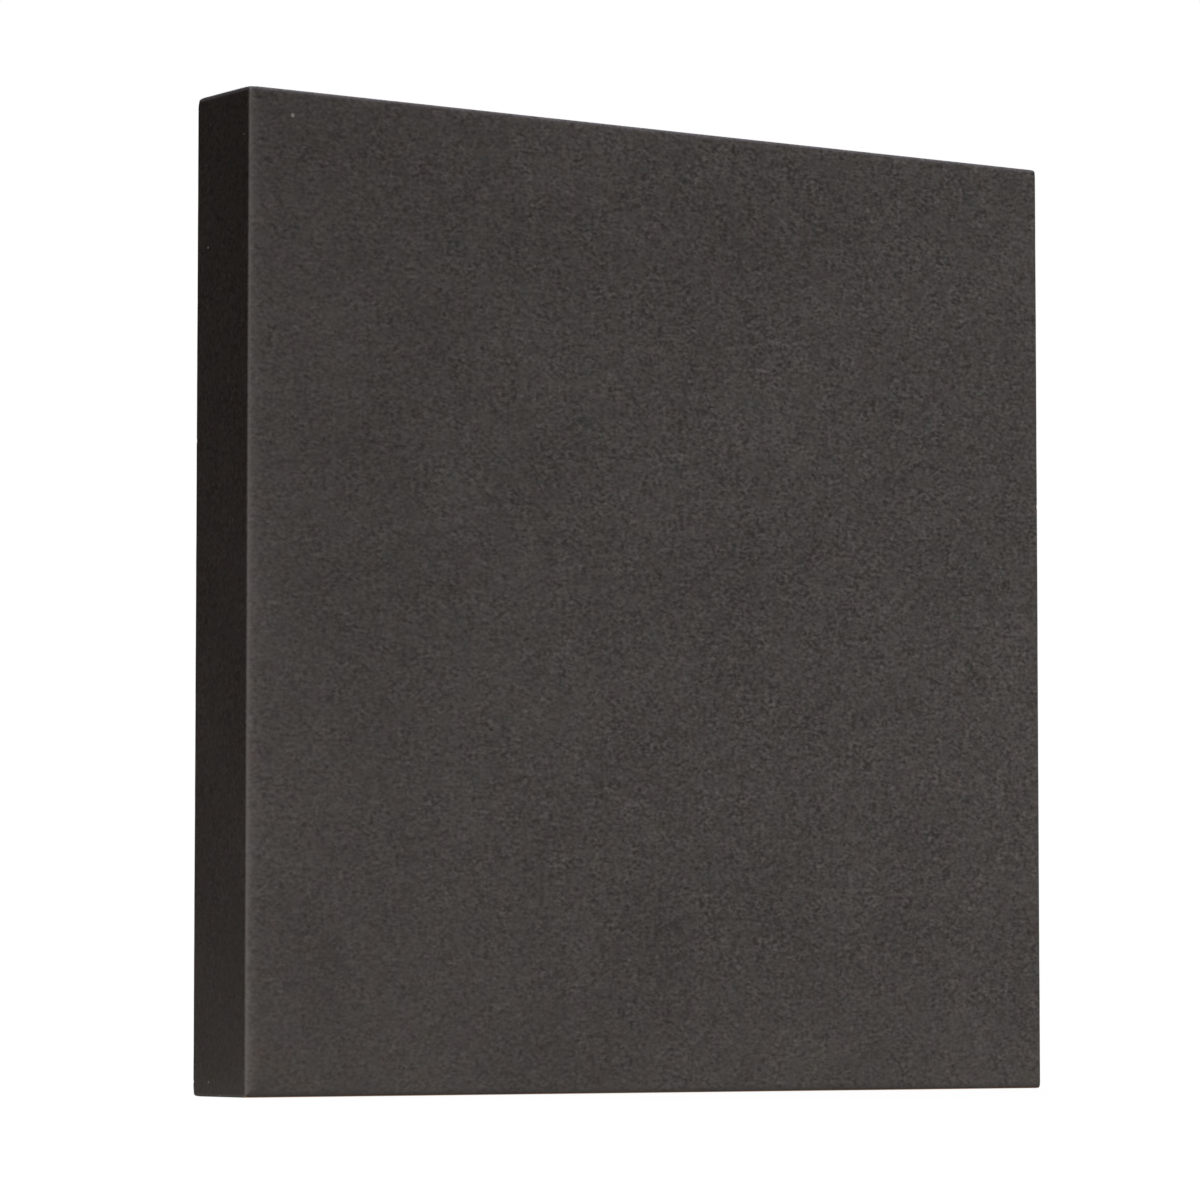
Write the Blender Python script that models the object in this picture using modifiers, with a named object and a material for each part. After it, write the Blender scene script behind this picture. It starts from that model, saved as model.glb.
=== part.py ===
"""Granite slab: one plate of black granite with a honed work face and rubbed arrises.

Run it with: blender --background --python part.py

Frame, in metres, +Z up: the slab stands on its lower edge, which lies on Z = 0, centred on X = 0 and Y = 0.
The work face looks along -Y and the back face along +Y. X is the width, Y the thickness and Z the height.
"""

import bmesh
import bpy

# Driving dimensions, in metres.
WIDTH = 0.305
HEIGHT = 0.305
THICKNESS = 0.0305
ARRIS = 0.0006

ARRIS_SEGMENTS = 3

# Finish: linear colour, roughness and metallic value of the honed stone.
STONE_COLOUR = (0.060, 0.053, 0.048, 1.0)
STONE_ROUGHNESS = 0.55
STONE_METALLIC = 0.0


def clear_scene():
    """Removes whatever objects the open file holds."""
    for old in list(bpy.data.objects):
        bpy.data.objects.remove(old)


def make_collection(name):
    """A new collection under the scene's own."""
    made = bpy.data.collections.new(name)
    bpy.context.scene.collection.children.link(made)
    return made


def honed_granite():
    """The one finish of the slab, on all six faces."""
    material = bpy.data.materials.new("honed_black_granite")
    material.use_nodes = True
    shader = material.node_tree.nodes["Principled BSDF"]
    shader.inputs["Base Color"].default_value = STONE_COLOUR
    shader.inputs["Roughness"].default_value = STONE_ROUGHNESS
    shader.inputs["Metallic"].default_value = STONE_METALLIC
    material.diffuse_color = STONE_COLOUR
    return material


def box_mesh(name, size_x, size_y, size_z):
    """A closed box of the given size about its own centre, with the size in the mesh and no object scale."""
    mesh = bpy.data.meshes.new(name)
    shape = bmesh.new()
    bmesh.ops.create_cube(shape, size=1.0)
    bmesh.ops.scale(shape, vec=(size_x, size_y, size_z), verts=shape.verts)
    shape.to_mesh(mesh)
    shape.free()
    return mesh


def granite_slab(collection):
    """The whole stone: a sawn plate whose twelve edges are rubbed to a small round arris."""
    slab = bpy.data.objects.new("granite_slab", box_mesh("granite_slab", WIDTH, THICKNESS, HEIGHT))
    slab.location = (0.0, 0.0, HEIGHT / 2)
    collection.objects.link(slab)
    slab.data.materials.append(honed_granite())
    arris = slab.modifiers.new("arris", "BEVEL")
    arris.width = ARRIS
    arris.segments = ARRIS_SEGMENTS
    arris.limit_method = "NONE"
    return slab


def main():
    clear_scene()
    granite_slab(make_collection("granite_slab"))


main()
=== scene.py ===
"""Looks of the granite slab: one stone with rubbed, slightly nicked arrises and a honed black granite finish.

The stone is a single closed surface. An outline runs round the slab's four narrow faces, and a section
profile is carried along it, from the middle of the work face, over the edge, to the middle of the back face.
"""

import bmesh
import bpy
import numpy as np
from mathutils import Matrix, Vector


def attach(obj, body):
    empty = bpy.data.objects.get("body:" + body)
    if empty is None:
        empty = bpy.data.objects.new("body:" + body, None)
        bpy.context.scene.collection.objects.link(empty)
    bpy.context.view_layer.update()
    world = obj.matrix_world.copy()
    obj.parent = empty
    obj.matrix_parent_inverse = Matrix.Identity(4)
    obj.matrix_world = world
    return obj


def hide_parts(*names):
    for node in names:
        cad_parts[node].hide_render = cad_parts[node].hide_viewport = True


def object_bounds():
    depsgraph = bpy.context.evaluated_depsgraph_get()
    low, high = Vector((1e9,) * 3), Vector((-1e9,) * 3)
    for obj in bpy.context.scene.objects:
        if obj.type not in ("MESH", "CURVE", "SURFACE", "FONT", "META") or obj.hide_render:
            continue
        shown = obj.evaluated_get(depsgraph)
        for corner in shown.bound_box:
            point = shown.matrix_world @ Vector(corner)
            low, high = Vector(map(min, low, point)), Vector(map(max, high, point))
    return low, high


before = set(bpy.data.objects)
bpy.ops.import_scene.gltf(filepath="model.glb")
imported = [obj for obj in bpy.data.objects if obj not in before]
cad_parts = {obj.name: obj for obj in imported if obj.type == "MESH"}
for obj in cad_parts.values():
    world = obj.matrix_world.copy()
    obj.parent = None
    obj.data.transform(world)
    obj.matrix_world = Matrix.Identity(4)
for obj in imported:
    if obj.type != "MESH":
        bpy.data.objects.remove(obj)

cad_low, cad_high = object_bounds()

MM = 0.001
CENTRE = (cad_low + cad_high) / 2
HALF = (cad_high - cad_low) / 2

# The edges, in metres. An arris is where a large face meets a narrow one.
CORNER_RADIUS = 1.0 * MM      # seen from the front, where two narrow faces meet
ARRIS_LEG = 0.42 * MM         # how far the arris reaches on to each face
ARRIS_POWER = 1.4             # of the arris's curve: 1 is a straight chamfer, 2 a quarter circle
ARRIS_WAVER = 0.12            # share by which hand rubbing changes the arris along the edge
WAVER_SEED = 5
ARRIS_RUB_AND_HIGHLIGHT = (0.0, 0.15, 1.0, 1.0)  # how rubbed the lower, right, upper and left arrises look, partly wear and partly painted highlight
CORNER_RUB_AND_HIGHLIGHT = 0.65          # how rubbed the upper corners look, partly wear and partly painted highlight
RUB_AND_HIGHLIGHT_FADE = 0.40 * MM          # over which the rubbed look and its painted highlight end on a large face, beside an arris,
NARROW_RUB_AND_HIGHLIGHT_FADE = 0.18 * MM   # and on a narrow face
FOOT_REACH = 1.15 * MM        # how far the painted shade at the foot reaches from the lower arris
PAINTED_BOUNCE_REACH = 6.0 * MM         # how far up the two upright narrow faces the painted light bounced from the floor reaches,
PAINTED_BOUNCE_SHARE = 0.95             # and how much paler it makes them at the floor

# The grid. Columns stand along the outline, and rows lie at set distances from the arris.
COLUMN_PITCH = 1.25 * MM
LEAST_PITCH = 0.05 * MM
CORNER_COLUMNS = 20
CORNER_SPAN = (-0.6, 1.6)     # where a corner's finer columns begin and end, as shares of its arc
NICK_COLUMNS = 9
NICK_SPAN = 1.15              # how far a nick's finer columns reach both ways, as a share of its half length
FAR_ROWS = np.array([90, 40, 16]) * MM
NEAR_ROWS = np.array([6.5, 4.2, 2.8, 1.8, 1.1, 0.6, 0.25]) * MM
ARRIS_ROWS = 6
MERGE_GAP = 0.001 * MM

# The nicks. Lengths, reaches and depths are shares of each nick's own size.
NICK_SEED = 12
NICK_COUNT = 26
NICK_SMALLEST = 0.17 * MM
NICK_SPREAD = 0.38 * MM
NICK_FRONT_SHARE = 0.6        # of all nicks, on the work face's arrises
NICK_LENGTHS = (1.0, 1.9)
NICK_REACHES = (0.9, 1.3)
NICK_DEPTHS = (0.16, 0.3)
NICK_PALE_DEPTH = 0.12 * MM   # a nick this deep shows fully pale stone

# The power that rounds a hollow: under one is steep-sided, and over one fades out.
NICK_HOLLOW = 0.6
RUB_HOLLOW = 2.0

# The camera, in metres, at table height with a long lens.
CAMERA_PLACE = (-0.9985, -1.4347, 0.0308)
CAMERA_AIM = (-0.0133, 0.0, 0.15547)
CAMERA_LENS = 165.17
CAMERA_SENSOR = 36.0          # width of the sensor in millimetres, as the lens is
CAMERA_REACH = 60.0


# ---------------------------------------------------------------- the stone's surface

def outline_knots():
    """Arc lengths at which the outline changes between a straight and a corner, with the corner centres and
    the turn at each. They start in the middle of the lower edge and go anticlockwise, seen from the work
    face."""
    across, up = HALF.x - CORNER_RADIUS, HALF.z - CORNER_RADIUS
    arc = CORNER_RADIUS * np.pi / 2
    steps = [0, across, arc, 2 * up, arc, 2 * across, arc, 2 * up, arc, across]
    x = np.array([0, across, across, across, across, -across, -across, -across, -across, 0])
    z = np.array([-up, -up, -up, up, up, up, up, -up, -up, -up])
    turn = np.radians([-90, -90, 0, 0, 90, 90, 180, 180, 270, 270])
    return np.cumsum(steps), x, z, turn


KNOTS, CORE_X, CORE_Z, TURN = outline_knots()
PERIMETER = KNOTS[-1]
CORNER_STARTS = KNOTS[1:8:2]
CORNER_ENDS = KNOTS[2:9:2]
CORNERS = (CORNER_STARTS + CORNER_ENDS) / 2


def outline(along):
    """The rounded rectangle at arc length along: the centre that it turns about, which slides along a smaller
    rectangle, and the unit outward direction, whose angle grows steadily through each corner."""
    core = np.stack([np.interp(along, KNOTS, CORE_X), np.interp(along, KNOTS, CORE_Z)], -1)
    angle = np.interp(along, KNOTS, TURN)
    return core, np.stack([np.cos(angle), np.sin(angle)], -1)


def nicks():
    """Small chips on the arrises: place along the outline, side (-1 work face, 1 back face), half length
    along the edge, reach across it and depth. Sizes are the smallest plus the spread times a random number
    cubed, so nearly all are tiny."""
    draw = np.random.default_rng(NICK_SEED)
    size = NICK_SMALLEST + NICK_SPREAD * draw.random(NICK_COUNT) ** 3
    made = np.zeros((NICK_COUNT, 5))
    made[:, 0] = draw.random(NICK_COUNT) * PERIMETER
    made[:, 1] = np.where(draw.random(NICK_COUNT) < NICK_FRONT_SHARE, -1, 1)
    made[:, 2] = size * draw.uniform(*NICK_LENGTHS, NICK_COUNT)
    made[:, 3] = size * draw.uniform(*NICK_REACHES, NICK_COUNT)
    made[:, 4] = size * draw.uniform(*NICK_DEPTHS, NICK_COUNT)
    return made


def corner_rubs():
    """Corners dulled by stoning, as wide shallow hollows: place along the outline, side, half length, reach
    and depth. They go lower right, upper right, upper left and lower left, on the work face and then on the
    back one. The upper left corners are rubbed most."""
    side = np.repeat([-1, 1], 4)
    depth = np.array([0.10, 0.12, 0.20, 0.12, 0.14, 0.12, 0.30, 0.18]) * MM
    spread = np.array([2.0, 2.5, 3.5, 2.0, 2.5, 2.5, 2.5, 3.0]) * MM
    return np.stack([np.tile(CORNERS, 2), side, spread, spread, depth], -1)


NICKS = nicks()
CORNER_RUBS = corner_rubs()


def columns():
    """Arc lengths of the grid's columns: an even spacing, finer through the corners and across each nick. A
    column that nearly meets the next one is left out."""
    even = np.linspace(0, PERIMETER, int(PERIMETER / COLUMN_PITCH), endpoint=False)
    arc = CORNER_ENDS[0] - CORNER_STARTS[0]
    corner = CORNER_STARTS[:, None] + np.linspace(*CORNER_SPAN, CORNER_COLUMNS) * arc
    nick = NICKS[:, :1] + NICKS[:, 2:3] * np.linspace(-NICK_SPAN, NICK_SPAN, NICK_COLUMNS)
    found = np.sort(np.concatenate([even, corner.ravel(), nick.ravel() % PERIMETER]))
    gap = np.diff(found, append=found[0] + PERIMETER)
    return found[gap > LEAST_PITCH]


def arris_leg(along):
    """How far the arris reaches on to each face at arc length along: the mean, changed by a few sines whose
    whole waves fit the outline."""
    draw = np.random.default_rng(WAVER_SEED)
    waves = np.array([3, 7, 16, 37, 71, 118])
    share = np.array([0.30, 0.25, 0.25, 0.25, 0.20, 0.15])
    phase = draw.uniform(0, 2 * np.pi, len(waves))
    ripple = np.sin(2 * np.pi * waves * along[:, None] / PERIMETER + phase) @ share
    return ARRIS_LEG * (1 + ARRIS_WAVER * ripple)


def edge_share(along, lower, right, upper, left):
    """A value for each of the four narrow faces, with a linear change through each corner."""
    return np.interp(along, KNOTS, [lower, lower, right, right, upper, upper, left, left, lower, lower])


# How much paler the work face is beside its edges, as a share of the stone's own brightness. Each row has a
# reach, then nine strengths, going anticlockwise: the lower edge's middle and right end, both ends of the
# right, upper and left edges, and the lower edge's left end. The first row is partly the stoning of the upper
# and left arrises, most of it on the left one, and partly a painted sheen beside them; the others are partly
# wear from hands and leather and partly painted light, where more light falls near the edges.
SCUFFS_AND_PAINTED_LIGHT = (
    (1.6 * MM, (0.0, 0.0, 0.0, 0.0, 0.55, 0.45, 1.90, 2.60, 0.0)),
    (20.0 * MM, (0.23, 0.15, 0.13, 0.15, 0.23, 0.10, 0.17, 0.23, 0.22)),
    (60.0 * MM, (0.0, 0.05, 0.05, 0.11, 0.11, 0.06, 0.06, 0.29, 0.29)),
)


def scuffing_and_painted_light(along, across):
    """For each row of paling beside the edges, which is partly wear and partly painted light, a strength that
    changes linearly along the edges, times an exponential decay with the distance from the edge, all summed."""
    total = np.zeros_like(across)
    for reach, strengths in SCUFFS_AND_PAINTED_LIGHT:
        total += np.exp(np.minimum(across, 0) / reach) * np.interp(along, KNOTS, strengths + strengths[:1])
    return total * (across < 0)


# The corners' share of the rubbed look and its painted highlight.
def corner_rub_and_highlight(along):
    """One through each corner of the outline, falling off as a Gaussian of the distance beyond it."""
    gap = np.abs((along[:, None] - CORNERS + PERIMETER / 2) % PERIMETER - PERIMETER / 2)
    beyond = np.clip(gap.min(axis=1) - CORNER_RADIUS * np.pi / 4, 0, None)
    return np.exp(-(beyond / RUB_AND_HIGHLIGHT_FADE) ** 2)


def half_section(leg):
    """Half of the section profile, from the middle of a large face to the middle of a narrow one, for every
    column. Each row gives a scale about the face's middle, an inset from the outline, a height above the
    narrow face's middle, and the signed distance from the arris's own middle, negative on the large face.
    Round the arris, the inset and the drop are one less a power of the sine and of the cosine."""
    face = np.concatenate([[HALF.x - leg.mean()], FAR_ROWS, NEAR_ROWS])
    bend = np.linspace(0, np.pi / 2, ARRIS_ROWS + 1)
    out_share, drop_share = np.sin(bend) ** (2 / ARRIS_POWER), np.cos(bend) ** (2 / ARRIS_POWER)
    narrow = NEAR_ROWS[:0:-1]
    flat = np.ones(len(leg))
    scale = np.concatenate([1 - face / face[0], np.ones(len(bend) + len(narrow))])[:, None] * flat
    inset = np.concatenate([
        np.ones((len(face), 1)) * leg,
        (1 - out_share)[:, None] * leg,
        np.zeros((len(narrow), len(leg))),
    ])
    rise = np.concatenate([
        np.full((len(face), len(leg)), HALF.y),
        HALF.y - (1 - drop_share)[:, None] * leg,
        HALF.y - leg - narrow[:, None] * flat,
    ])
    across = np.concatenate([
        -face[:, None] - leg * np.pi / 4,
        (bend - np.pi / 4)[:, None] * leg,
        leg * np.pi / 4 + narrow[:, None] * flat,
    ])
    return scale, inset, rise, across


def worn_away(along, across, side, marks, hollow):
    """How deep the stone is worn at each grid point: for each mark, its depth times a power of one less the
    squared elliptical distance from the mark's middle. Where marks overlap, the deepest one counts."""
    depth = np.zeros_like(across)
    for place, face, length, reach, deep in marks[marks[:, 1] == side]:
        gap = (along - place + PERIMETER / 2) % PERIMETER - PERIMETER / 2
        inside = np.clip(1 - (gap / length) ** 2 - (across / reach) ** 2, 0, 1)
        depth = np.maximum(depth, deep * inside ** hollow)
    return depth


# Of these finishes, the rubbed look is partly wear and partly a painted highlight, the scuffing partly wear
# and partly painted light, with painted light bounced from the floor, and the foot painted shade with a
# painted reflection.
SHARES = ("rubbed_and_painted_highlight", "chipped", "scuffed_and_painted_light", "painted_foot_shade_and_reflection", "upper_face", "narrow_face", "back_face")


def finish_shares(along, across, side, leg, core, chip):
    """The share of each finish over one half of the stone, in the order of SHARES. The rubbed look, partly
    wear and partly a painted highlight, falls off as a Gaussian of the distance beyond the arris, and on the
    narrow faces, apart from the upper one, already from the arris's middle. The painted shade at the foot
    falls off as a Gaussian of the distance from the lower arris, and the painted light bounced from the floor
    falls off exponentially with the height above the floor."""
    on_face = np.clip(-across - leg * np.pi / 4, 0, None) / RUB_AND_HIGHLIGHT_FADE
    on_narrow = np.clip(across - leg * np.pi / 4 * edge_share(along, 0, 0, 1, 0), 0, None) / NARROW_RUB_AND_HIGHLIGHT_FADE
    arris = np.exp(-np.maximum(on_face, on_narrow) ** 2)
    narrow = np.clip(0.5 + across / (leg * np.pi / 2), 0, 1)
    upper_corner = corner_rub_and_highlight(along) * (core[:, 1] > 0)
    # The rubbed look is partly wear and partly a painted highlight.
    rubbed_and_painted_highlight = np.maximum(arris * edge_share(along, *ARRIS_RUB_AND_HIGHLIGHT), CORNER_RUB_AND_HIGHLIGHT * upper_corner * narrow)
    chipped = np.clip(chip / NICK_PALE_DEPTH, 0, 1)
    height = core[:, 1] + HALF.z - CORNER_RADIUS
    # Painted light bounced from the floor, paler towards the foot of the upright narrow faces.
    painted_floor_bounce = PAINTED_BOUNCE_SHARE * np.exp(-height / PAINTED_BOUNCE_REACH) * edge_share(along, 0, 1, 0, 1) * narrow
    # Paling beside the edges of the work face, partly wear and partly painted light, plus the painted floor
    # bounce.
    scuffed_and_painted_light = scuffing_and_painted_light(along, across) * (side < 0) + painted_floor_bounce
    # Painted shade along the lower arris of the work face, which also carries a tan painted reflection.
    painted_foot_shade_and_reflection = edge_share(along, 1, 0, 0, 0) * np.exp(-(across / FOOT_REACH) ** 2) * (side < 0)
    # Where the painted highlight turns lilac: the upper arris and the upper corners.
    upper = np.maximum(edge_share(along, 0, 0, 1, 0), upper_corner) + np.zeros_like(across)
    return rubbed_and_painted_highlight, chipped, scuffed_and_painted_light, painted_foot_shade_and_reflection, upper, narrow, np.full_like(across, side > 0)


def stone_grid(along):
    """Rows by columns of points, and the share of each finish at each one. A point is the outline's, moved
    in by the profile's inset, scaled about the face's middle and lifted by the profile's height. Marks of
    wear then push it in along the arris's diagonal."""
    core, out = outline(along)
    leg = arris_leg(along)
    scale, inset, rise, across = half_section(leg)
    halves = []
    for side in (-1, 1):
        chip = worn_away(along, across, side, NICKS, NICK_HOLLOW)
        inward = (chip + worn_away(along, across, side, CORNER_RUBS, RUB_HOLLOW)) * np.sqrt(0.5)
        flat = (core + (CORNER_RADIUS - inset)[..., None] * out) * scale[..., None] - inward[..., None] * out
        points = np.stack([flat[..., 0], side * (rise - inward), flat[..., 1]], -1)
        halves.append((points, *finish_shares(along, across, side, leg, core, chip)))
    return [np.concatenate([front, back[::-1]]) for front, back in zip(*halves)]


def stone_faces(rows, count):
    """Quads between neighbouring rows and columns, closed round the outline."""
    row, column = np.meshgrid(np.arange(rows - 1), np.arange(count), indexing="ij")
    after = (column + 1) % count
    quads = np.stack([row * count + column, row * count + after, (row + 1) * count + after,
                      (row + 1) * count + column], -1)
    return quads.reshape(-1, 4)


def build_stone():
    """The slab as one mesh: the grid's points, with the first and the last row each merged into one point,
    the pole in the middle of a large face."""
    along = columns()
    points, *shares = stone_grid(along)
    rows, count = points.shape[:2]
    faces = stone_faces(rows, count)
    mesh = bpy.data.meshes.new("granite_slab_stone")
    mesh.from_pydata((points.reshape(-1, 3) + np.array(CENTRE)).tolist(), [], faces.tolist())
    for name, values in zip(SHARES, shares):
        carried = mesh.attributes.new(name, "FLOAT", "POINT")
        carried.data.foreach_set("value", values.astype(np.float32).ravel())
    close_poles(mesh)
    mesh.shade_smooth()
    stone = bpy.data.objects.new("granite_slab_stone", mesh)
    bpy.context.scene.collection.objects.link(stone)
    return stone


def close_poles(mesh):
    """Merges each pole's row of points, which lie in one place. The quads beside it become triangles."""
    shape = bmesh.new()
    shape.from_mesh(mesh)
    bmesh.ops.remove_doubles(shape, verts=shape.verts, dist=MERGE_GAP)
    bmesh.ops.recalc_face_normals(shape, faces=shape.faces)
    shape.to_mesh(mesh)
    shape.free()


# ---------------------------------------------------------------- node helpers

def add(tree, kind, inputs=(), **settings):
    """A node of that kind. Its inputs, by name or number, are values or the sockets that feed them."""
    node = tree.nodes.new(kind)
    for name, value in settings.items():
        setattr(node, name, value)
    for key, value in dict(inputs).items():
        if isinstance(value, bpy.types.NodeSocket):
            tree.links.new(value, node.inputs[key])
        else:
            node.inputs[key].default_value = value
    return node


def maths(tree, operation, first, second=0.0, third=0.0):
    return add(tree, "ShaderNodeMath", {0: first, 1: second, 2: third}, operation=operation).outputs[0]


def stretched(tree, place, scale):
    """Coordinates multiplied by a scale for each axis."""
    return add(tree, "ShaderNodeVectorMath", {0: place, 1: scale}, operation="MULTIPLY").outputs[0]


def noise(tree, place, scale, detail=2.0, roughness=0.5):
    """Noise about zero, from roughly -0.5 to 0.5."""
    inputs = {"Vector": place, "Scale": scale, "Detail": detail, "Roughness": roughness}
    node = add(tree, "ShaderNodeTexNoise", inputs)
    return maths(tree, "SUBTRACT", node.outputs["Fac"], 0.5)


def cells(tree, place, scale):
    """Voronoi cells, with three random numbers for each cell and the distance from its middle."""
    node = add(tree, "ShaderNodeTexVoronoi", {"Vector": place, "Scale": scale, "Randomness": 1.0})
    return add(tree, "ShaderNodeSeparateColor", {0: node.outputs["Color"]}).outputs, node.outputs["Distance"]


def blend(tree, share, first, second, mode="MIX"):
    node = add(tree, "ShaderNodeMix", {0: share, 6: first, 7: second}, data_type="RGBA", blend_type=mode)
    return node.outputs[2]


def grey(tree, value):
    return add(tree, "ShaderNodeCombineColor", {0: value, 1: value, 2: value}).outputs[0]


def mapped(tree, value, low, high, to_low, to_high):
    """value from low..high, moved to to_low..to_high and held there."""
    inputs = {"Value": value, "From Min": low, "From Max": high, "To Min": to_low, "To Max": to_high}
    return add(tree, "ShaderNodeMapRange", inputs).outputs["Result"]


# ---------------------------------------------------------------- the stone's finish

# Linear colours.
BLACK = (0.0, 0.0, 0.0, 1.0)
WHITE = (1.0, 1.0, 1.0, 1.0)
WARM_GREY = (0.0638, 0.0459, 0.0368, 1.0)
COOL_GREY = (0.0533, 0.0459, 0.0420, 1.0)
NEUTRAL_GREY = 0.048          # lighter and darker crystals differ from the mean by shares of this
PALE_SPECK = (0.42, 0.40, 0.37, 1.0)
# Rubbed arrises: partly paler worn stone and partly a painted highlight; the lilac on the upper arris and
# corners is a painted highlight of the light from above.
RUBBED_AND_HIGHLIT_GREY = (0.217, 0.198, 0.184, 1.0)
PAINTED_HIGHLIGHT_LILAC = (0.34, 0.308, 0.365, 1.0)
CHIPPED_GREY = (0.19, 0.178, 0.168, 1.0)
# Painted shade under the lower arris, then a tan painted reflection at the foot.
PAINTED_FOOT_SHADE = (0.027, 0.018, 0.012, 1.0)
PAINTED_FOOT_REFLECTION = (0.55, 0.34, 0.21, 1.0)

# Single pale crystals that show at arm's length: middle and radius, in millimetres from the model's origin.
FLECKS = (
    ((-137.0, -15.25, 297.2), 0.85),
    ((-152.5, -12.3, 290.5), 0.32),
    ((-152.5, 8.6, 258.2), 0.50),
    ((-152.5, 5.9, 4.5), 0.38),
)

# Sizes of the pattern, in millimetres.
LINEATION = 1.48              # crystals are this much longer across the slab than up it
CRYSTAL_SIZE = 1.05
GRAIN_SIZE = 1.08
CLUSTER_SIZE = 2.4
CLOUD_SIZE = 38.0
TINT_SIZE = 8.0
ROSE_SIZE = 6.0
SPECK_SPACING = 9.0
LIVELY_SIZE = 7.0
PATCH_SIZE = 1.4
STREAK_LENGTH = 14.0
STREAK_WIDTH = 1 / 3

# How much each layer changes the stone's brightness, about a mean of one.
CRYSTAL_SHARE = 0.72
GRAIN_SHARE = 3.25
CLUSTER_SHARE = 1.34
CLOUD_SHARE = 0.92
STREAK_SHARE = 0.60
LIVELY_SHARE = 2.0            # how much the strength of the crystal pattern itself drifts from place to place
TONE_SKEW = 0.08              # makes the pale crystals stronger than the dark ones
DARKEST = -0.85               # the sum of the layers never falls below this
NARROW_CALM = 0.38            # the narrow faces are sawn and rubbed, so their pattern is this much fainter,
NARROW_SHADE = 0.12           # and they are this much darker

# Tints.
TINTED_SHARE = 0.35           # of each change in brightness keeps the stone's hue; the rest is neutral grey
TINT_SPREAD = 0.13            # noise from minus this to plus this goes from the warm grey to the cool one
ROSE_SHARE = 0.38             # how far some crystals lean to rose, and others to green

# The pattern is fainter towards the left and at the foot: two places in millimetres, then the strengths.
LEFT_FADE = (-152.5, 30.0, 0.72, 1.14)
FOOT_FADE = (20.0, 60.0, 0.82, 1.0)

# Specks, chips and wear, with the painted highlight on the rubbed arrises and the painted shade and
# reflection at the foot.
SPECK_RARITY = 0.90           # a cell has a speck if its random number is above this
SPECK_LARGEST = 0.07          # radius, in speck spacings
SPECK_STRENGTH = 0.75
FLECK_CORE = 0.35             # share of a fleck's radius that is fully pale
PATCH_RANGE = (-0.22, 0.10, 0.25, 1.0)  # two values of noise, then the strengths of the bruise and its painted highlight
BRUISE_AND_HIGHLIGHT_STRENGTH = 0.8
CHIP_STRENGTH = 0.7
PAINTED_FOOT_SHADE_STRENGTH = 0.95
PAINTED_REFLECTION_RANGE = (0.32, 0.6, 0.0, 1.0)       # two places round the lower arris, then the strengths of the tan painted reflection

# Roughness: of the plain stone, then what crystals, rubbing and the back face add.
HONED_ROUGHNESS = 0.47
CRYSTAL_ROUGHNESS = 0.10
RUBBED_ROUGHNESS = 0.08
BACK_ROUGHNESS = 0.08

# Relief. The last three shares stand beside the grain's own, which is one.
BUMP_HEIGHT = 0.03 * MM
BUMP_STRENGTH = 0.6
CRYSTAL_RELIEF = 0.35
STREAK_RELIEF = 0.8
CHIP_RELIEF = 2.0


def brightness(tree, place, lined, crystal, grain, streak, narrow, scuffed_and_painted_light):
    """How much brighter than its mean the stone is, as a share: crystals, grain, clusters and clouds, each
    times its own share, fainter to the left, at the foot and on the narrow faces, then streaks, and the
    paling beside the edges, partly wear and partly painted light, with the painted floor bounce. A little
    of the sum's square is added, and the sum never falls below DARKEST."""
    lively = maths(tree, "MULTIPLY_ADD", noise(tree, place, 1 / LIVELY_SIZE, detail=1.0), LIVELY_SHARE, 1.0)
    cluster = noise(tree, lined, 1 / CLUSTER_SIZE, detail=3.0, roughness=0.6)
    cloud = noise(tree, place, 1 / CLOUD_SIZE, detail=2.0, roughness=0.5)
    axes = add(tree, "ShaderNodeSeparateXYZ", {0: place}).outputs

    tone = maths(tree, "MULTIPLY", crystal, CRYSTAL_SHARE)
    tone = maths(tree, "MULTIPLY_ADD", grain, GRAIN_SHARE, tone)
    tone = maths(tree, "MULTIPLY", tone, lively)
    tone = maths(tree, "MULTIPLY_ADD", cluster, CLUSTER_SHARE, tone)
    tone = maths(tree, "MULTIPLY", tone, mapped(tree, axes[0], *LEFT_FADE))
    tone = maths(tree, "MULTIPLY", tone, mapped(tree, axes[2], *FOOT_FADE))
    tone = maths(tree, "MULTIPLY_ADD", cloud, CLOUD_SHARE, tone)
    tone = maths(tree, "MULTIPLY", tone, maths(tree, "MULTIPLY_ADD", narrow, -NARROW_CALM, 1.0))
    tone = maths(tree, "MULTIPLY_ADD", streak, STREAK_SHARE, tone)
    # The paling beside the edges, partly wear and partly painted light, and the painted light bounced from
    # the floor.
    tone = maths(tree, "ADD", tone, scuffed_and_painted_light)
    tone = maths(tree, "MULTIPLY_ADD", maths(tree, "MULTIPLY", tone, tone), TONE_SKEW, tone)
    return maths(tree, "MAXIMUM", tone, DARKEST)


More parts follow.
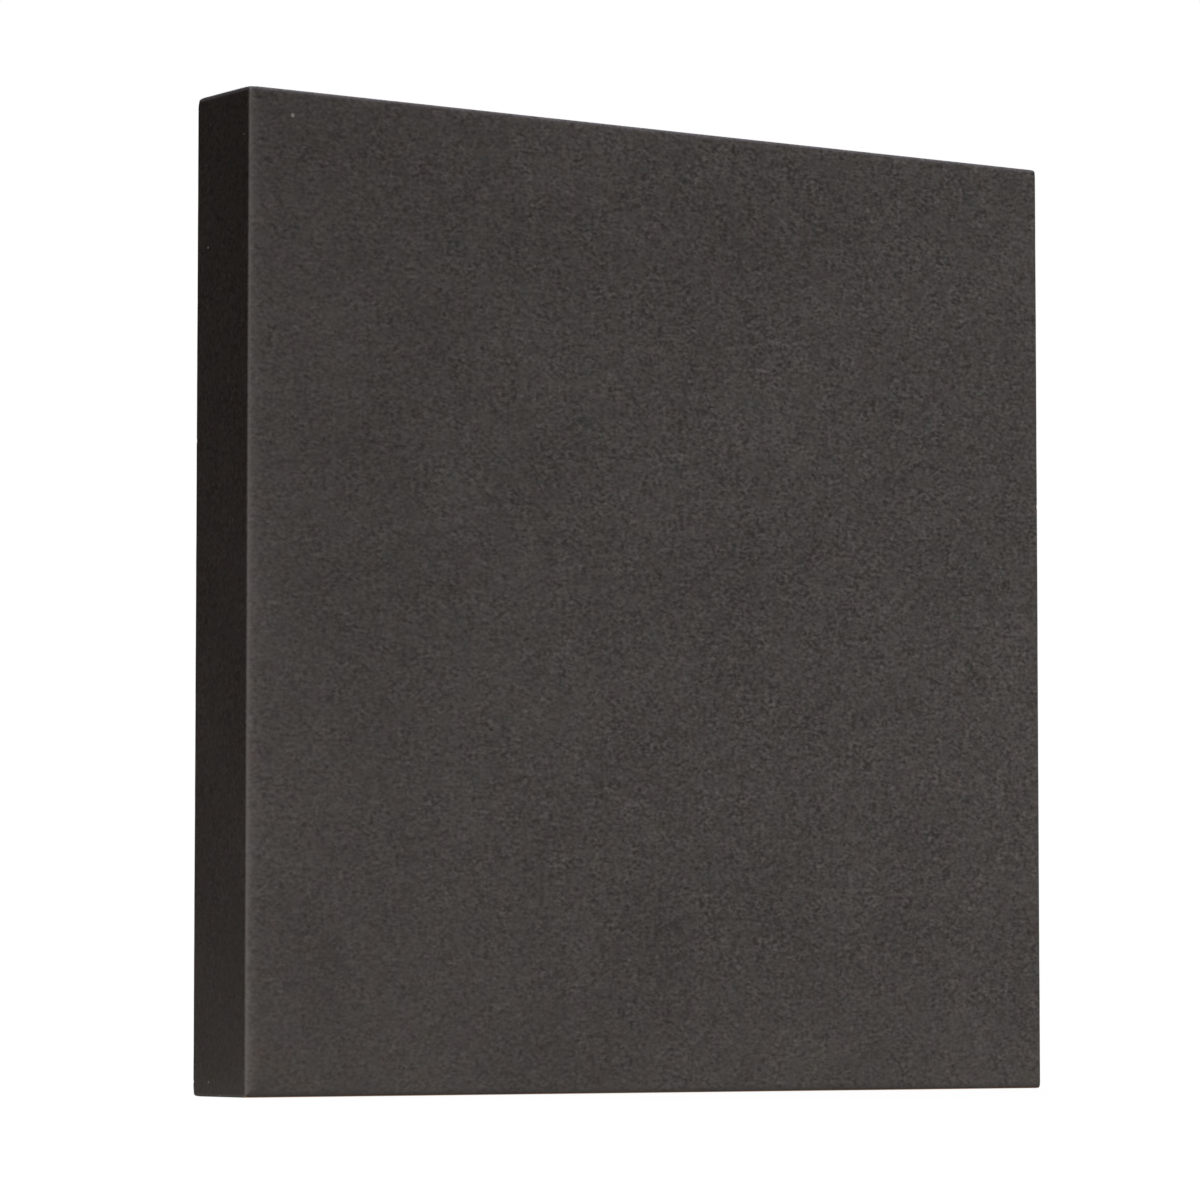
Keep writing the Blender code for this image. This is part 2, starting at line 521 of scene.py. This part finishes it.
def stone_colour(tree, place, tone, narrow):
    """Warm grey drifting to cool, tinted rose or green in places, then made brighter or darker by tone:
    partly as a multiple of the stone's own colour and partly as plain grey."""
    cool = noise(tree, place, 1 / TINT_SIZE, detail=5.0, roughness=0.72)
    colour = blend(tree, mapped(tree, cool, -TINT_SPREAD, TINT_SPREAD, 0.0, 1.0), WARM_GREY, COOL_GREY)
    rose = noise(tree, place, 1 / ROSE_SIZE, detail=4.0, roughness=0.65)
    green = maths(tree, "MULTIPLY_ADD", rose, -ROSE_SHARE, 1.0)
    red = maths(tree, "MULTIPLY_ADD", rose, ROSE_SHARE / 2, 1.0)
    rosy = add(tree, "ShaderNodeCombineColor", {0: red, 1: green, 2: red}).outputs[0]
    colour = blend(tree, 1.0, colour, rosy, "MULTIPLY")
    tinted = maths(tree, "MULTIPLY_ADD", tone, TINTED_SHARE, 1.0)
    colour = blend(tree, 1.0, colour, grey(tree, tinted), "MULTIPLY")
    lift = maths(tree, "MULTIPLY", tone, NEUTRAL_GREY * (1 - TINTED_SHARE))
    colour = blend(tree, 1.0, colour, grey(tree, lift), "ADD")
    return blend(tree, maths(tree, "MULTIPLY", narrow, NARROW_SHADE), colour, BLACK)


def pale_specks(tree, place):
    """How far the stone is pale: small discs in the middle of some cells, and the flecks, with soft edges."""
    draws, distance = cells(tree, place, 1 / SPECK_SPACING)
    size = mapped(tree, draws[1], SPECK_RARITY, 1.0, 0.0, SPECK_LARGEST)
    speck = maths(tree, "MULTIPLY", maths(tree, "LESS_THAN", distance, size), SPECK_STRENGTH)
    for middle, radius in FLECKS:
        reach = add(tree, "ShaderNodeVectorMath", {0: place, 1: middle}, operation="DISTANCE")
        fleck = mapped(tree, reach.outputs["Value"], radius * FLECK_CORE, radius, 1.0, 0.0)
        speck = maths(tree, "MAXIMUM", speck, fleck)
    return speck


def granite():
    """Honed black granite, a solid pattern that runs through the stone: interlocked crystals of about a
    millimetre, clusters of a few millimetres, faint clouds, warm, cool, rose and green tints and rare pale
    specks. The narrow faces carry fine grinding streaks along their length. Rubbed arrises are paler, partly
    as bruised stone and partly as a painted highlight, lilac on the upper arris, and chips show the paler
    bruised stone. The foot carries painted shade and a tan painted reflection."""
    material = bpy.data.materials.new("honed_black_granite")
    material.use_nodes = True
    tree = material.node_tree
    shader = tree.nodes["Principled BSDF"]
    place = add(tree, "ShaderNodeTexCoord").outputs["Object"]
    place = add(tree, "ShaderNodeVectorMath", {0: place, "Scale": 1 / MM}, operation="SCALE").outputs[0]
    lined = stretched(tree, place, (1 / LINEATION, 1.0, 1.0))
    shares = (add(tree, "ShaderNodeAttribute", attribute_name=name).outputs["Fac"] for name in SHARES)
    rubbed_and_painted_highlight, chipped, scuffed_and_painted_light, painted_foot_shade_and_reflection, upper, narrow, back = shares

    draws, _ = cells(tree, lined, 1 / CRYSTAL_SIZE)
    crystal = maths(tree, "SUBTRACT", draws[0], 0.5)
    grain = noise(tree, lined, 1 / GRAIN_SIZE, detail=1.0, roughness=0.45)
    along = stretched(tree, place, (1 / STREAK_LENGTH, 1 / STREAK_WIDTH, 1 / STREAK_LENGTH))
    streak = maths(tree, "MULTIPLY", noise(tree, along, 1.0, detail=3.0, roughness=0.6), narrow)

    tone = brightness(tree, place, lined, crystal, grain, streak, narrow, scuffed_and_painted_light)
    colour = stone_colour(tree, place, tone, narrow)
    colour = blend(tree, pale_specks(tree, place), colour, PALE_SPECK)
    patchy = mapped(tree, noise(tree, place, 1 / PATCH_SIZE, detail=3.0, roughness=0.65), *PATCH_RANGE)
    # The rubbed arrises, partly paler bruised stone and partly a painted highlight, lilac on the upper arris.
    bruise_and_highlight = maths(tree, "MULTIPLY", maths(tree, "MULTIPLY", rubbed_and_painted_highlight, patchy), BRUISE_AND_HIGHLIGHT_STRENGTH)
    colour = blend(tree, bruise_and_highlight, colour, blend(tree, upper, RUBBED_AND_HIGHLIT_GREY, PAINTED_HIGHLIGHT_LILAC))
    # Painted shade along the lower arris, then a tan painted reflection at the foot.
    colour = blend(tree, maths(tree, "MULTIPLY", painted_foot_shade_and_reflection, PAINTED_FOOT_SHADE_STRENGTH), colour, PAINTED_FOOT_SHADE)
    painted_reflection = maths(tree, "MULTIPLY", painted_foot_shade_and_reflection, mapped(tree, narrow, *PAINTED_REFLECTION_RANGE))
    colour = blend(tree, painted_reflection, colour, PAINTED_FOOT_REFLECTION)
    colour = blend(tree, maths(tree, "MULTIPLY", chipped, CHIP_STRENGTH), colour, CHIPPED_GREY)
    tree.links.new(colour, shader.inputs["Base Color"])

    roughness = maths(tree, "MULTIPLY_ADD", draws[1], CRYSTAL_ROUGHNESS, HONED_ROUGHNESS)
    roughness = maths(tree, "MULTIPLY_ADD", rubbed_and_painted_highlight, RUBBED_ROUGHNESS, roughness)
    roughness = maths(tree, "MULTIPLY_ADD", back, BACK_ROUGHNESS, roughness)
    tree.links.new(roughness, shader.inputs["Roughness"])

    height = maths(tree, "MULTIPLY_ADD", crystal, CRYSTAL_RELIEF, grain)
    height = maths(tree, "MULTIPLY_ADD", streak, STREAK_RELIEF, height)
    height = maths(tree, "MULTIPLY_ADD", maths(tree, "MULTIPLY", chipped, grain), CHIP_RELIEF, height)
    bump = add(tree, "ShaderNodeBump", {"Strength": BUMP_STRENGTH, "Distance": BUMP_HEIGHT, "Height": height})
    tree.links.new(bump.outputs[0], shader.inputs["Normal"])
    return material


# ---------------------------------------------------------------- the studio

FLOOR_HALF = 20.0             # half its side, in metres
FLOOR_PALE = (0.5, 0.5, 0.5, 1.0)
FLOOR_WARMTH = (1.0, 0.93, 0.86, 1.0)
FLOOR_GLOW = 0.358            # radiance that the lit floor adds to what it throws back
POOL_RADIUS = 0.45            # the floor glows up to here, in metres from the slab's foot,
POOL_END = 1.00               # and not beyond here
SHADE_RADIUS = 0.10           # the camera sees a little of the floor's own shading up to here,
SHADE_END = 0.40              # and plain white beyond here
SHADE_SHARE = 0.05
SEEN_WHITE = 1.03             # radiance of that white

# Soft lights: place and aim in metres, side of the square in metres, and watts.
SOFTBOXES = {
    "overhead_softbox": ((0.0, 0.0, 1.4), (0.0, 0.0, 0.0), 1.2, 10.0),
    "front_right_softbox": ((1.3, -1.7, 0.35), (0.0, 0.0, 0.15), 0.8, 7.9),
    "front_left_softbox": ((-1.6, -1.6, 0.5), (0.0, 0.0, 0.15), 0.8, 2.0),
    "back_right_softbox": ((0.8, 1.5, 1.3), (0.0, 0.0, 0.1), 0.9, 8.0),
}


def floor_material():
    """Pale matte floor. It glows in a pool round the slab, like the lit sweep of a studio table, and to the
    camera it fades into the white of the room."""
    material = bpy.data.materials.new("pale_floor")
    material.use_nodes = True
    tree = material.node_tree
    tree.nodes.clear()
    place = add(tree, "ShaderNodeTexCoord").outputs["Object"]
    reach = add(tree, "ShaderNodeVectorMath", {0: place}, operation="LENGTH").outputs["Value"]
    pool = mapped(tree, reach, POOL_RADIUS, POOL_END, 1.0, 0.0)
    warm = blend(tree, pool, BLACK, FLOOR_WARMTH)
    glow = add(tree, "ShaderNodeEmission", {"Color": warm, "Strength": FLOOR_GLOW}).outputs[0]
    pale = add(tree, "ShaderNodeBsdfDiffuse", {"Color": FLOOR_PALE}).outputs[0]
    thrown = add(tree, "ShaderNodeAddShader", {0: glow, 1: pale}).outputs[0]
    white = add(tree, "ShaderNodeEmission", {"Color": WHITE, "Strength": SEEN_WHITE}).outputs[0]
    shade = mapped(tree, reach, SHADE_RADIUS, SHADE_END, SHADE_SHARE, 0.0)
    seen = add(tree, "ShaderNodeMixShader", {0: shade, 1: white, 2: pale}).outputs[0]
    camera = add(tree, "ShaderNodeLightPath").outputs["Is Camera Ray"]
    both = add(tree, "ShaderNodeMixShader", {0: camera, 1: thrown, 2: seen}).outputs[0]
    add(tree, "ShaderNodeOutputMaterial", {"Surface": both})
    return material


def build_floor():
    """A flat square, level with the slab's lower edge."""
    corners = np.array([(-1, -1, 0), (1, -1, 0), (1, 1, 0), (-1, 1, 0)]) * FLOOR_HALF
    mesh = bpy.data.meshes.new("floor")
    mesh.from_pydata((corners + (0, 0, cad_low.z)).tolist(), [], [(0, 1, 2, 3)])
    mesh.materials.append(floor_material())
    floor = bpy.data.objects.new("floor", mesh)
    bpy.context.scene.collection.objects.link(floor)
    return floor


def softbox(name, place, aim, size, power):
    """A square soft light at a place, turned towards a point."""
    data = bpy.data.lights.new(name, "AREA")
    data.shape = "SQUARE"
    data.size = size
    data.energy = power
    lamp = bpy.data.objects.new(name, data)
    lamp.location = place
    lamp.rotation_euler = (Vector(aim) - Vector(place)).to_track_quat("-Z", "Y").to_euler()
    bpy.context.scene.collection.objects.link(lamp)


def white_room():
    """A world that is white to the camera and dark to everything else."""
    world = bpy.data.worlds.new("white_room")
    world.use_nodes = True
    tree = world.node_tree
    tree.nodes.clear()
    dark = add(tree, "ShaderNodeBackground", {"Color": BLACK}).outputs[0]
    white = add(tree, "ShaderNodeBackground", {"Color": WHITE}).outputs[0]
    camera = add(tree, "ShaderNodeLightPath").outputs["Is Camera Ray"]
    both = add(tree, "ShaderNodeMixShader", {0: camera, 1: dark, 2: white}).outputs[0]
    add(tree, "ShaderNodeOutputWorld", {"Surface": both})
    bpy.context.scene.world = world


def build_camera():
    data = bpy.data.cameras.new("camera")
    data.lens = CAMERA_LENS
    data.sensor_width = CAMERA_SENSOR
    data.clip_end = CAMERA_REACH
    camera = bpy.data.objects.new("camera", data)
    camera.location = CAMERA_PLACE
    aim = Vector(CAMERA_AIM) - Vector(CAMERA_PLACE)
    camera.rotation_euler = aim.to_track_quat("-Z", "Y").to_euler()
    bpy.context.scene.collection.objects.link(camera)
    bpy.context.scene.camera = camera


# ---------------------------------------------------------------- put together

bpy.context.scene.view_settings.view_transform = "Standard"

stone = build_stone()
stone.data.materials.append(granite())
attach(stone, "root")
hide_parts("granite_slab")

build_floor()
for light_name, light in SOFTBOXES.items():
    softbox(light_name, *light)
white_room()
build_camera()
